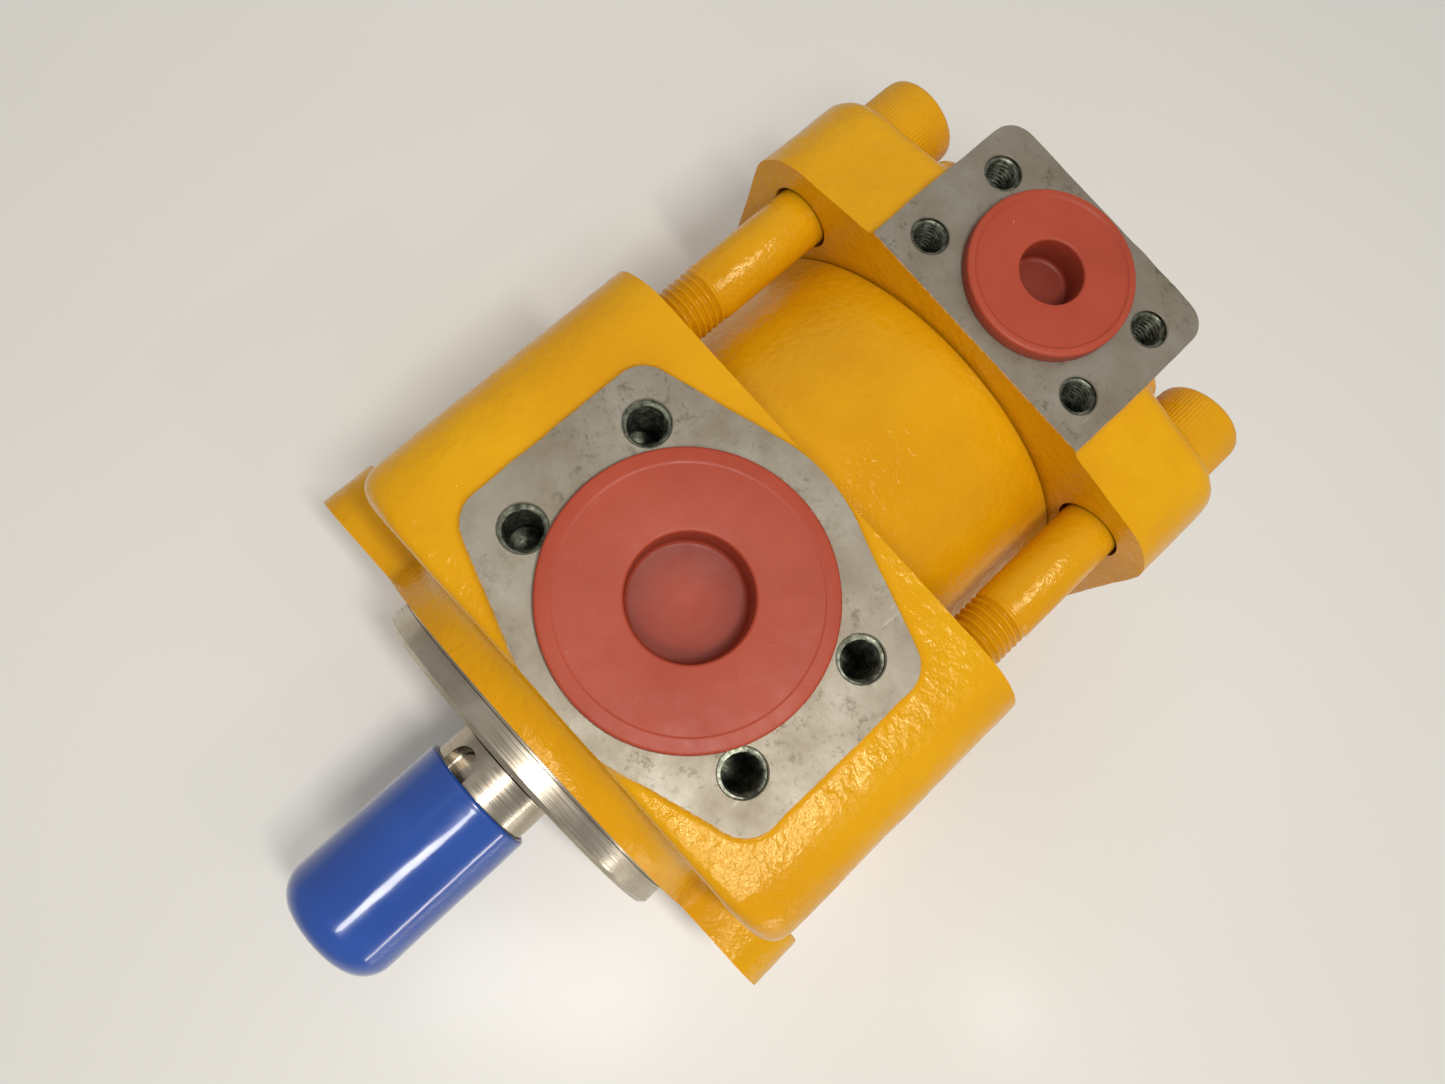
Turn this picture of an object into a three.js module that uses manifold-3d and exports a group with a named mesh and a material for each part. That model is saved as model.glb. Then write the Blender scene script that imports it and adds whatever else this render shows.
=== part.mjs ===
// An internal-gear hydraulic motor with a two-bolt flange, four long clamping screws and two
// rectangular-pattern ports. Every piece is drawn about the shaft axis, in millimetres:
// x across, y from the mounting face towards the rear, z up towards the ports.
import * as THREE from 'three';
import { mergeVertices } from 'three/addons/utils/BufferGeometryUtils.js';
import Module from 'manifold-3d';

const wasm = await Module();
wasm.setup();

// Where the castings begin and end along the shaft
const AXIS_HEIGHT = 60; // shaft axis above the surface the motor lies on
const BLOCK_FRONT = 9;
const BLOCK_REAR = 88;
const COVER_FRONT = 139.4;
const EAR_REAR = 168.5;
const TAIL = 189.3;
const CAP_END = -72.8;
const GAP = 0.15; // running and slip-fit clearance on the radius

// Mounting flange and pilot
const FLANGE = { tipX: 87, tipRadius: 15, hubRadius: 58, skirt: 62, blend: 10, thick: 16, boltX: 73, holeRadius: 7.15 };
const PILOT = { radius: 50.8, front: -7.5 };

// Block and cover outlines
const BLOCK = { halfWidth: 70, top: 69.5, cornerRadius: 16.5, frontCornerRadius: 6.5 };
const COVER = { halfWidth: 72, earRadius: 17, boss: 43 };

// Clamping screws
const SCREW = { x: 55, z: 43, radius: 8, holeRadius: 9, headRadius: 12, headHeight: 16 };
const SCREW_THREAD = { start: 107, tip: 58, radius: 7.85, tappedRadius: 8.15, holeEnd: 56 };
const SOCKET = { flats: 14, depth: 8 };

// Ports: large in the block, small in the cover
const INLET = {
  y: 47.6, face: 71.1, bore: 19, boreFloor: 26,
  holeX: 34.95, holeY: 17.85, holeRadius: 5.2, holeDepth: 23,
  hub: 40, cornerX: 39.5, cornerY: 21, cornerRadius: 7.5,
};
const OUTLET = {
  y: 162.9, face: 66.1, bore: 12.5, boreFloor: 27,
  holeX: 26.2, holeY: 13.1, holeRadius: 4.3, holeDepth: 19,
  halfWidth: 35.8, rearCornerRadius: 7,
};
const PASSAGE = { inner: 25.5, outer: 34 };

// Transport plugs and shaft cap
const INLET_PLUG = { shift: -1.4, rim: 33.4, rise: 3, step: 1.3, recess: 14, recessDepth: 8, hub: 17.4, reach: 11 };
const OUTLET_PLUG = { shift: 2, rim: 21.5, rise: 4, step: 1.1, recess: 8.25, recessDepth: 8, hub: 10.3, reach: 10 };
const CAP = { radius: 17.7, inner: 16.3, mouth: -20.3, nose: 8 };

// Shaft, keyway and bearings
const SHAFT = { radius: 16, front: -69.5, rear: 166, chamfer: 3.5 };
const KEYWAY = { width: 10, depth: 5, rearEnd: -13, frontEnd: -60, turn: THREE.MathUtils.degToRad(35) };
const BEARING = { outer: 21, front: [52, 87.4], rear: [140, 166.5] };
const SEAL = { outer: 25, front: -3, rear: 4.5 };
const CIRCLIP = { outer: 26.2, inner: 22.6, front: -5.2, thick: 1.4, gap: 9 };

// Gear set: pinion on the shaft, ring gear offset towards the ports
const GEAR = {
  module: 3, pinionTeeth: 13, ringTeeth: 19, pressure: THREE.MathUtils.degToRad(25),
  addendum: 0.8, clearance: 0.2, backlash: 0.3, front: 93.6, rear: 133.8,
};
const OFFSET = ((GEAR.ringTeeth - GEAR.pinionTeeth) * GEAR.module) / 2;
const RING_RADIUS = 38.5;
const HOUSING_RADIUS = 57;
const HOUSING_BORE = 38.7;
const PLATE_THICK = 5.3;
const CRESCENT = { clearance: 0.3, cutZ: 2 };
const CRESCENT_PIN = { z: 28.5, radius: 4, reach: 7.5 };
const DOWEL = { x: 35, z: -35, radius: 3, reach: 8 };
const O_RING = { path: 43.5, radius: 1.05, grooveWidth: 3.6, grooveDepth: 2.3 };

const ROUND = 60; // facets of a large round surface
const MID_ROUND = 36; // facets of the shaft, its bearings, the plugs and the cap
const SEAL_ROUND = 28; // facets of a seal or retaining ring
const SMALL_ROUND = 20; // facets of a screw, pin or bolt hole

const MATERIALS = {
  yellow: { color: 0xdca40a, roughness: 0.35, metalness: 0.1 },
  machined: { color: 0x8f8880, roughness: 0.45, metalness: 0.85 },
  polished: { color: 0xb9b4ab, roughness: 0.25, metalness: 0.95 },
  gear: { color: 0x7c7d80, roughness: 0.3, metalness: 0.95 },
  bronze: { color: 0xa9793a, roughness: 0.4, metalness: 0.9 },
  rubber: { color: 0x1b1b1b, roughness: 0.8, metalness: 0 },
  red: { color: 0xb5493d, roughness: 0.5, metalness: 0 },
  blue: { color: 0x1e4aa0, roughness: 0.2, metalness: 0 },
};

// ---- geometry helpers -------------------------------------------------------------------

/** A closed three.js geometry as a solid that can be joined and cut. */
function solid(geometry) {
  const bare = geometry.clone();
  bare.deleteAttribute('normal');
  bare.deleteAttribute('uv');
  const merged = mergeVertices(bare, 1e-4);
  const corners = merged.index.array;
  const triVerts = [];
  for (let i = 0; i < corners.length; i += 3) {
    const [a, b, c] = corners.slice(i, i + 3);
    if (a !== b && b !== c && c !== a) triVerts.push(a, b, c);
  }
  return new wasm.Manifold(
    new wasm.Mesh({
      numProp: 3,
      vertProperties: merged.attributes.position.array,
      triVerts: Uint32Array.from(triVerts),
    })
  );
}

function geometryOf(body) {
  const mesh = body.getMesh();
  const geometry = new THREE.BufferGeometry();
  geometry.setAttribute('position', new THREE.BufferAttribute(mesh.vertProperties, 3));
  geometry.setIndex(new THREE.BufferAttribute(mesh.triVerts, 1));
  geometry.computeVertexNormals();
  return geometry;
}

/** Round bar about the shaft direction, from y0 to y1, with its axis at (x, z). */
function barY(radius, y0, y1, x = 0, z = 0, facets = ROUND) {
  const bar = new THREE.CylinderGeometry(radius, radius, y1 - y0, facets);
  return solid(bar.translate(x, (y0 + y1) / 2, z));
}

/** Upright round bar from z0 to z1, with its axis at (x, y). */
function barZ(radius, z0, z1, x, y, facets = SMALL_ROUND) {
  const bar = new THREE.CylinderGeometry(radius, radius, z1 - z0, facets).rotateX(Math.PI / 2);
  return solid(bar.translate(x, y, (z0 + z1) / 2));
}

function box(x0, x1, y0, y1, z0, z1) {
  const block = new THREE.BoxGeometry(x1 - x0, y1 - y0, z1 - z0);
  return solid(block.translate((x0 + x1) / 2, (y0 + y1) / 2, (z0 + z1) / 2));
}

/** A profile of [radius, y] points, turned about the shaft axis. */
function turned(profile, facets = ROUND) {
  return new THREE.LatheGeometry(profile.map(([r, y]) => new THREE.Vector2(r, y)), facets);
}

/** A plain ring about the shaft axis. */
function ring(inner, outer, y0, y1, facets = ROUND) {
  return turned([[inner, y0], [outer, y0], [outer, y1], [inner, y1], [inner, y0]], facets);
}

/** An (x, z) outline, extruded from y0 to y1. */
function plateY(shape, y0, y1, curveSegments = 6) {
  const plate = new THREE.ExtrudeGeometry(shape, { depth: y1 - y0, bevelEnabled: false, curveSegments });
  return plate.rotateX(Math.PI / 2).translate(0, y1, 0);
}

/** An (x, y) outline, extruded from z0 to z1. */
function plateZ(shape, z0, z1) {
  const settings = { depth: z1 - z0, bevelEnabled: false, curveSegments: 4 };
  return new THREE.ExtrudeGeometry(shape, settings).translate(0, 0, z0);
}

/** The convex outline round a set of circles, each [x, y, radius]. */
function outlineRound(circles, steps = 32) {
  const points = circles.flatMap(([x, y, radius]) =>
    Array.from({ length: steps }, (_, i) => {
      const angle = (2 * Math.PI * i) / steps;
      return new THREE.Vector2(x + radius * Math.cos(angle), y + radius * Math.sin(angle));
    })
  );
  points.sort((a, b) => a.x - b.x || a.y - b.y);
  const halfHull = (list) => {
    const hull = [];
    for (const p of list) {
      while (hull.length > 1 && !turnsLeft(hull.at(-2), hull.at(-1), p)) hull.pop();
      hull.push(p);
    }
    return hull.slice(0, -1);
  };
  return new THREE.Shape([...halfHull(points), ...halfHull(points.toReversed())]);
}

function turnsLeft(a, b, c) {
  return (b.x - a.x) * (c.y - a.y) - (b.y - a.y) * (c.x - a.x) > 1e-6;
}

/** A kidney-shaped opening about the shaft axis, between two angles in degrees. */
function kidney(inner, outer, from, to, y0, y1) {
  const a = THREE.MathUtils.degToRad(from);
  const b = THREE.MathUtils.degToRad(to);
  const shape = new THREE.Shape();
  shape.absarc(0, 0, outer, a, b, false);
  shape.absarc(0, 0, inner, b, a, true);
  return solid(plateY(shape, y0, y1));
}

function fourCorners(x, y) {
  return [[-x, -y], [x, -y], [x, y], [-x, y]];
}

function cutAll(body, tools) {
  return tools.reduce((left, tool) => left.subtract(tool), body);
}

// ---- gear teeth -------------------------------------------------------------------------

/** Involute tooth outline; for the ring gear it is the outline of the hole. */
function toothOutline(teeth, addendum, dedendum, halfWidth) {
  const { module: m, pressure } = GEAR;
  const pitch = (teeth * m) / 2;
  const base = pitch * Math.cos(pressure);
  const root = pitch - dedendum;
  const tip = pitch + addendum;
  const flankSteps = 3;
  const involute = (radius) => {
    const angle = Math.acos(Math.min(1, base / radius));
    return Math.tan(angle) - angle;
  };
  const halfAngle = (radius) => halfWidth / pitch + involute(pitch) - involute(Math.max(radius, base));
  const start = Math.max(root, base);
  const flank = Array.from({ length: flankSteps + 1 }, (_, i) => start + ((tip - start) * i) / flankSteps);
  if (root < base) flank.unshift(root);
  const points = [];
  for (let tooth = 0; tooth < teeth; tooth++) {
    const middle = -Math.PI / 2 + (2 * Math.PI * tooth) / teeth;
    const add = (radius, angle) => points.push(
      new THREE.Vector2(radius * Math.cos(middle + angle), radius * Math.sin(middle + angle))
    );
    flank.forEach((radius) => add(radius, -halfAngle(radius)));
    add(tip, 0);
    flank.toReversed().forEach((radius) => add(radius, halfAngle(radius)));
    add(root, Math.PI / teeth);
  }
  return points;
}

const toothHalf = (Math.PI * GEAR.module) / 4;
const toothTall = GEAR.addendum * GEAR.module;
const toothDeep = (GEAR.addendum + GEAR.clearance) * GEAR.module;
const pinionTip = (GEAR.pinionTeeth * GEAR.module) / 2 + toothTall;
const ringTip = (GEAR.ringTeeth * GEAR.module) / 2 - toothTall;

// ---- castings ---------------------------------------------------------------------------

const blockTop = BLOCK.top - BLOCK.cornerRadius;
const blockSide = BLOCK.halfWidth - BLOCK.cornerRadius;
const floorZ = -AXIS_HEIGHT;

function tappedHoles(port) {
  return fourCorners(port.holeX, port.holeY).map(([x, y]) =>
    barZ(port.holeRadius, port.face - port.holeDepth, port.face + 1, x, port.y + y)
  );
}

function oRingGroove(y0, y1) {
  const half = O_RING.grooveWidth / 2;
  return solid(ring(O_RING.path - half, O_RING.path + half, y0, y1, SEAL_ROUND).translate(0, 0, OFFSET));
}

function dowelHoles(y0, y1) {
  return [-1, 1].map((side) => barY(DOWEL.radius + GAP, y0, y1, side * DOWEL.x, DOWEL.z, SMALL_ROUND));
}

/** Two bolt ears that flow into the round hub with a concave blend. */
function flangeOutline() {
  const { tipX, tipRadius, hubRadius, blend } = FLANGE;
  const earX = tipX - tipRadius;
  const ear = (angle) => {
    const across = Math.abs(Math.cos(angle));
    const up = Math.abs(Math.sin(angle));
    const side = tipRadius / Math.max(up, 1e-6);
    const round = earX * across + Math.sqrt(Math.max(0, tipRadius ** 2 - (earX * up) ** 2));
    return side * across < earX ? side : round;
  };
  const steps = 144;
  return new THREE.Shape(Array.from({ length: steps }, (_, i) => {
    const angle = (2 * Math.PI * (i + 0.5)) / steps;
    const radius = (hubRadius ** blend + ear(angle) ** blend) ** (1 / blend);
    return new THREE.Vector2(radius * Math.cos(angle), radius * Math.sin(angle));
  }));
}

function frontBody() {
  const cornerZ = floorZ + BLOCK.cornerRadius;
  const section = outlineRound(
    [blockTop, cornerZ].flatMap((z) => [-1, 1].map((side) => [side * blockSide, z, BLOCK.cornerRadius]))
  );
  const r = BLOCK.frontCornerRadius;
  const plan = new THREE.Shape();
  plan.absarc(-BLOCK.halfWidth + r, BLOCK_FRONT + r, r, Math.PI, 1.5 * Math.PI, false);
  plan.absarc(BLOCK.halfWidth - r, BLOCK_FRONT + r, r, 1.5 * Math.PI, 2 * Math.PI, false);
  plan.lineTo(BLOCK.halfWidth, BLOCK_REAR);
  plan.lineTo(-BLOCK.halfWidth, BLOCK_REAR);
  const block = solid(plateY(section, BLOCK_FRONT, BLOCK_REAR)).intersect(solid(plateZ(plan, floorZ, INLET.face)));

  const pad = outlineRound([
    ...fourCorners(INLET.cornerX, INLET.cornerY).map(([x, y]) => [x, INLET.y + y, INLET.cornerRadius]),
    [0, INLET.y, INLET.hub],
  ]);
  const skirt = new THREE.CylinderGeometry(FLANGE.skirt, FLANGE.hubRadius, BLOCK_FRONT, ROUND);
  const casting = block
    .add(solid(plateY(flangeOutline(), 0, FLANGE.thick)))
    .add(solid(skirt.translate(0, BLOCK_FRONT / 2, 0)).intersect(box(-70, 70, 0, BLOCK_FRONT, floorZ, 70)))
    .add(barY(PILOT.radius, PILOT.front, 1))
    .add(solid(plateZ(pad, blockTop, INLET.face)).intersect(box(-60, 60, BLOCK_FRONT, BLOCK_REAR, 0, 90)));

  const clip = [CIRCLIP.front - 0.2, CIRCLIP.front + CIRCLIP.thick + 0.2];
  return cutAll(casting, [
    ...[-1, 1].map((side) => barY(FLANGE.holeRadius, -1, 20, side * FLANGE.boltX, 0, SMALL_ROUND)),
    ...fourCorners(SCREW.x, SCREW.z).map(([x, z]) =>
      barY(SCREW_THREAD.tappedRadius, SCREW_THREAD.holeEnd, BLOCK_REAR + 1, x, z, SMALL_ROUND)
    ),
    ...tappedHoles(INLET),
    barY(SHAFT.radius + 1.5, -20, BLOCK_REAR + 1, 0, 0, MID_ROUND),
    barY(BEARING.outer + GAP, BEARING.front[0] - 1, BLOCK_REAR + 1, 0, 0, MID_ROUND),
    barY(SEAL.outer + GAP, PILOT.front - 1, SEAL.rear + 0.5, 0, 0, MID_ROUND),
    barY(CIRCLIP.outer + 0.3, ...clip, 0, 0, MID_ROUND),
    barZ(INLET.bore, INLET.boreFloor, INLET.face + 1, 0, INLET.y, MID_ROUND),
    kidney(PASSAGE.inner, PASSAGE.outer, -45, 70, INLET.y - 14, BLOCK_REAR + 1),
    barY(CRESCENT_PIN.radius + GAP, BLOCK_REAR - CRESCENT_PIN.reach - 0.5, BLOCK_REAR + 1, 0, CRESCENT_PIN.z, SMALL_ROUND),
    ...dowelHoles(BLOCK_REAR - DOWEL.reach - 0.5, BLOCK_REAR + 1),
  ]);
}

function gearHousing() {
  const depth = O_RING.grooveDepth;
  return cutAll(barY(HOUSING_RADIUS, BLOCK_REAR, COVER_FRONT), [
    barY(HOUSING_BORE, BLOCK_REAR - 1, COVER_FRONT + 1, 0, OFFSET),
    oRingGroove(BLOCK_REAR - 1, BLOCK_REAR + depth),
    oRingGroove(COVER_FRONT - depth, COVER_FRONT + 1),
    ...dowelHoles(BLOCK_REAR - 1, BLOCK_REAR + DOWEL.reach + 0.5),
    ...dowelHoles(COVER_FRONT - DOWEL.reach - 0.5, COVER_FRONT + 1),
  ]);
}

function rearCover() {
  const earX = COVER.halfWidth - COVER.earRadius;
  const earCircles = fourCorners(earX, SCREW.z).map(([x, z]) => [x, z, COVER.earRadius]);
  const padShoulder = 1;
  const padCircles = [-1, 1].map((side) => [
    side * (OUTLET.halfWidth - padShoulder), OUTLET.face - 2 * padShoulder, padShoulder,
  ]);
  const plate = solid(plateY(outlineRound([...earCircles, ...padCircles]), COVER_FRONT, EAR_REAR));

  const r = OUTLET.rearCornerRadius;
  const pad = new THREE.Shape();
  pad.moveTo(-OUTLET.halfWidth, COVER_FRONT);
  pad.lineTo(OUTLET.halfWidth, COVER_FRONT);
  pad.absarc(OUTLET.halfWidth - r, TAIL - r, r, 0, Math.PI / 2, false);
  pad.absarc(-OUTLET.halfWidth + r, TAIL - r, r, Math.PI / 2, Math.PI, false);
  const casting = plate
    .add(solid(plateZ(pad, 0, OUTLET.face)))
    .add(barY(COVER.boss, EAR_REAR - 1, TAIL - 2));

  return cutAll(casting, [
    ...fourCorners(SCREW.x, SCREW.z).map(([x, z]) =>
      barY(SCREW.holeRadius, COVER_FRONT - 1, EAR_REAR + 1, x, z, SMALL_ROUND)
    ),
    ...fourCorners(SCREW.x, SCREW.z).map(([x, z]) =>
      barY(SCREW.headRadius + 0.8, EAR_REAR, TAIL + 1, x, z, SMALL_ROUND)
    ),
    ...tappedHoles(OUTLET),
    barY(BEARING.outer + GAP, COVER_FRONT - 1, BEARING.rear[1] + 2, 0, 0, MID_ROUND),
    barZ(OUTLET.bore, OUTLET.boreFloor, OUTLET.face + 1, 0, OUTLET.y, MID_ROUND),
    kidney(PASSAGE.inner, PASSAGE.outer, 110, 225, COVER_FRONT - 1, OUTLET.y + 9),
    barY(CRESCENT_PIN.radius + GAP, COVER_FRONT - 1, COVER_FRONT + CRESCENT_PIN.reach + 0.5, 0, CRESCENT_PIN.z, SMALL_ROUND),
    ...dowelHoles(COVER_FRONT - 1, COVER_FRONT + DOWEL.reach + 0.5),
  ]);
}

// ---- rotating group ---------------------------------------------------------------------

function pinionShaft() {
  const { radius, front, rear, chamfer } = SHAFT;
  const bar = solid(turned([
    [0, front], [radius - chamfer, front], [radius, front + chamfer],
    [radius, rear - 1.5], [radius - 1.5, rear], [0, rear],
  ], MID_ROUND));
  const half = toothHalf - GEAR.backlash / 4;
  const teeth = new THREE.Shape(toothOutline(GEAR.pinionTeeth, toothTall, toothDeep, half));
  const end = KEYWAY.width / 2;
  const slot = new THREE.Shape();
  slot.absarc(0, KEYWAY.rearEnd - end, end, 0, Math.PI, false);
  slot.absarc(0, KEYWAY.frontEnd + end, end, Math.PI, 2 * Math.PI, false);
  const keyway = plateZ(slot, radius - KEYWAY.depth, radius + 1).rotateY(-KEYWAY.turn);
  return bar.add(solid(plateY(teeth, GEAR.front, GEAR.rear))).subtract(solid(keyway));
}

function ringGear() {
  const half = toothHalf + GEAR.backlash / 4;
  const shape = new THREE.Shape();
  shape.absarc(0, 0, RING_RADIUS, 0, 2 * Math.PI, false);
  shape.holes.push(new THREE.Path(toothOutline(GEAR.ringTeeth, toothDeep, toothTall, half)));
  return plateY(shape, GEAR.front, GEAR.rear, ROUND / 2);
}

function crescent() {
  const outer = barY(ringTip - CRESCENT.clearance, GEAR.front, GEAR.rear, 0, OFFSET);
  return cutAll(outer, [
    barY(pinionTip + CRESCENT.clearance, GEAR.front - 1, GEAR.rear + 1),
    box(-60, 60, GEAR.front - 1, GEAR.rear + 1, -60, CRESCENT.cutZ),
    barY(CRESCENT_PIN.radius + GAP, GEAR.front - 1, GEAR.rear + 1, 0, CRESCENT_PIN.z, SMALL_ROUND),
  ]);
}

/** Wear plate with its flow opening on one side of the shaft. */
function sidePlate(y0, from, to) {
  const y1 = y0 + PLATE_THICK;
  return cutAll(barY(RING_RADIUS, y0, y1, 0, OFFSET), [
    barY(SHAFT.radius + 0.3, y0 - 1, y1 + 1, 0, 0, MID_ROUND),
    barY(CRESCENT_PIN.radius + GAP, y0 - 1, y1 + 1, 0, CRESCENT_PIN.z, SMALL_ROUND),
    kidney(22, 30, from, to, y0 - 1, y1 + 1),
  ]);
}

function bearing([y0, y1]) {
  return ring(SHAFT.radius + GAP, BEARING.outer, y0, y1, MID_ROUND);
}

function shaftSeal() {
  const lip = SHAFT.radius + GAP;
  return turned([
    [lip, SEAL.front + 2], [lip + 1.5, SEAL.front], [SEAL.outer, SEAL.front], [SEAL.outer, SEAL.rear],
    [SEAL.outer - 3, SEAL.rear], [SEAL.outer - 3, SEAL.front + 3], [lip + 2, SEAL.front + 3],
    [lip, SEAL.front + 2],
  ], SEAL_ROUND);
}

function retainingRing() {
  const { outer, inner, front, thick, gap } = CIRCLIP;
  const full = solid(ring(inner, outer, front, front + thick, SEAL_ROUND));
  return full.subtract(box(-gap / 2, gap / 2, front - 1, front + thick + 1, -outer - 1, 0));
}

function oRing(y) {
  const { path, radius } = O_RING;
  const sides = 6;
  const section = Array.from({ length: sides + 1 }, (_, i) => {
    const angle = (2 * Math.PI * i) / sides;
    return [path + radius * Math.cos(angle), y + radius * Math.sin(angle)];
  });
  return turned(section, SEAL_ROUND).translate(0, 0, OFFSET);
}

// ---- screws, plugs and cap --------------------------------------------------------------

function capScrew() {
  const { radius, headRadius, headHeight } = SCREW;
  const { start, tip, radius: threadRadius } = SCREW_THREAD;
  const top = EAR_REAR + headHeight;
  const body = solid(turned([
    [0, tip], [threadRadius - 1.5, tip], [threadRadius, tip + 1.5], [threadRadius, start],
    [radius, start], [radius, EAR_REAR], [headRadius, EAR_REAR], [headRadius, top - 1],
    [headRadius - 1, top], [0, top],
  ], SMALL_ROUND));
  const socket = new THREE.CylinderGeometry(1, 1, SOCKET.depth + 1, 6);
  const across = SOCKET.flats / Math.sqrt(3);
  return body.subtract(solid(socket.scale(across, 1, across).translate(0, top - SOCKET.depth / 2 + 0.5, 0)));
}

/** Push-in plug: a stepped rim on the port face and a cupped hub in the bore. */
function portPlug({ shift, rim, rise, step, recess, recessDepth, hub, reach }, port) {
  const cupFloor = rise - recessDepth;
  const profile = [
    [0, cupFloor], [recess, cupFloor], [recess, rise], [rim - step, rise], [rim, rise - 1],
    [rim, 0], [hub, 0], [hub - 0.6, -reach], [recess - 1, -reach], [recess - 1, cupFloor - 2], [0, cupFloor - 2],
  ];
  return turned(profile.toReversed(), MID_ROUND).rotateX(Math.PI / 2).translate(0, port.y + shift, port.face);
}

/** Dipped sleeve with a rounded nose, drawn over the shaft end. */
function shaftCap() {
  const { radius, inner, mouth, nose } = CAP;
  const steps = 4;
  const arc = (r, i) => {
    const angle = ((Math.PI / 2) * i) / steps;
    return [radius - nose + r * Math.cos(angle), CAP_END + nose - r * Math.sin(angle)];
  };
  const outside = Array.from({ length: steps + 1 }, (_, i) => arc(nose, steps - i));
  const inside = Array.from({ length: steps + 1 }, (_, i) => arc(nose - (radius - inner), i));
  return turned([[0, CAP_END], ...outside, [radius, mouth], [inner, mouth], ...inside, [0, inside.at(-1)[1]]], MID_ROUND);
}

// ---- assembly ---------------------------------------------------------------------------

const motor = new THREE.Group();
motor.position.set(0, -(CAP_END + TAIL) / 2, AXIS_HEIGHT);

function place(name, shape, look, x = 0, z = 0) {
  const geometry = shape.isBufferGeometry ? shape : geometryOf(shape);
  const mesh = new THREE.Mesh(geometry, new THREE.MeshStandardMaterial(MATERIALS[look]));
  mesh.name = name;
  mesh.position.set(x, 0, z);
  motor.add(mesh);
}

place('front_body', frontBody(), 'yellow');
place('gear_housing', gearHousing(), 'yellow');
place('rear_cover', rearCover(), 'yellow');
const screwNames = ['lower_left', 'lower_right', 'upper_right', 'upper_left'];
fourCorners(SCREW.x, SCREW.z).forEach(([x, z], i) => {
  place(`cap_screw_${screwNames[i]}`, capScrew(), 'yellow', x, z);
});

place('pinion_shaft', pinionShaft(), 'polished');
place('ring_gear', ringGear(), 'gear', 0, OFFSET);
place('crescent', crescent(), 'gear');
const pinEnds = [BLOCK_REAR - CRESCENT_PIN.reach, COVER_FRONT + CRESCENT_PIN.reach];
place('crescent_pin', barY(CRESCENT_PIN.radius, ...pinEnds, 0, 0, SMALL_ROUND), 'gear', 0, CRESCENT_PIN.z);
place('front_side_plate', sidePlate(BLOCK_REAR + 0.1, -45, 45), 'bronze');
place('rear_side_plate', sidePlate(COVER_FRONT - 0.1 - PLATE_THICK, 135, 225), 'bronze');
place('front_bearing', bearing(BEARING.front), 'bronze');
place('rear_bearing', bearing(BEARING.rear), 'bronze');
place('shaft_seal', shaftSeal(), 'rubber');
place('seal_retaining_ring', retainingRing(), 'machined');
place('front_o_ring', oRing(BLOCK_REAR + O_RING.radius + 0.1), 'rubber');
place('rear_o_ring', oRing(COVER_FRONT - O_RING.radius - 0.1), 'rubber');
[['front', BLOCK_REAR], ['rear', COVER_FRONT]].forEach(([end, y]) => {
  [['left', -1], ['right', 1]].forEach(([side, sign]) => {
    const dowel = barY(DOWEL.radius, y - DOWEL.reach, y + DOWEL.reach, 0, 0, SMALL_ROUND);
    place(`dowel_${end}_${side}`, dowel, 'machined', sign * DOWEL.x, DOWEL.z);
  });
});

place('inlet_plug', portPlug(INLET_PLUG, INLET), 'red');
place('outlet_plug', portPlug(OUTLET_PLUG, OUTLET), 'red');
place('shaft_cap', shaftCap(), 'blue');

export default motor;
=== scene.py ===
import math

import bmesh
import bpy
from mathutils import Euler, Matrix, Vector, noise


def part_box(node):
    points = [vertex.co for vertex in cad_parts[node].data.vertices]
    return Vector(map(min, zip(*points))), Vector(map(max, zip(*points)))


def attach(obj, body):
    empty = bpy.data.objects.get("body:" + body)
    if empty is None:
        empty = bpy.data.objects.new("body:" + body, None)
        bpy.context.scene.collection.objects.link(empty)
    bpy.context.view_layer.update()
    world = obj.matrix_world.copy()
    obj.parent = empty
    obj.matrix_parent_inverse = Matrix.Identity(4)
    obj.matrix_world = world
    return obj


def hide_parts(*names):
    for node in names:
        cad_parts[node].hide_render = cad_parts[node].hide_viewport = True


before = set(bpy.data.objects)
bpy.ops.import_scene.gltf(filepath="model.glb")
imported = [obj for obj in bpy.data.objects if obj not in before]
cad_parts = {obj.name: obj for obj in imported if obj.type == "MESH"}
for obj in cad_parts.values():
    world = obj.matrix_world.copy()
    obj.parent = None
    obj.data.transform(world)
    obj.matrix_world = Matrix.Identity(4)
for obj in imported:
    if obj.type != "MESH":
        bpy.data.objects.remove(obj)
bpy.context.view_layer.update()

# ---- the shaft frame ----------------------------------------------------------------
# Shapes are drawn in millimetres about the shaft axis: x across, y from the mounting face
# to the rear, z up to the ports. settle() sets them in the row frame, in metres.
MM = 0.001
body_low, body_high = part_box("front_body")
ring_low, ring_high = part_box("gear_housing")
cover_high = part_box("rear_cover")[1]
cap_low, cap_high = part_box("shaft_cap")
screw_low, screw_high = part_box("cap_screw_upper_right")
shaft_low, shaft_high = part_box("pinion_shaft")
inlet_low, inlet_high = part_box("inlet_plug")
outlet_low, outlet_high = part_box("outlet_plug")

PILOT_HEIGHT = 7.5
AXIS_Z = (ring_low.z + ring_high.z) / 2
FACE_Y = body_low.y + PILOT_HEIGHT * MM


def along(y):
    """A frame y as millimetres behind the mounting face."""
    return (y - FACE_Y) / MM


def above(z):
    """A frame z as millimetres above the shaft axis."""
    return (z - AXIS_Z) / MM


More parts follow.
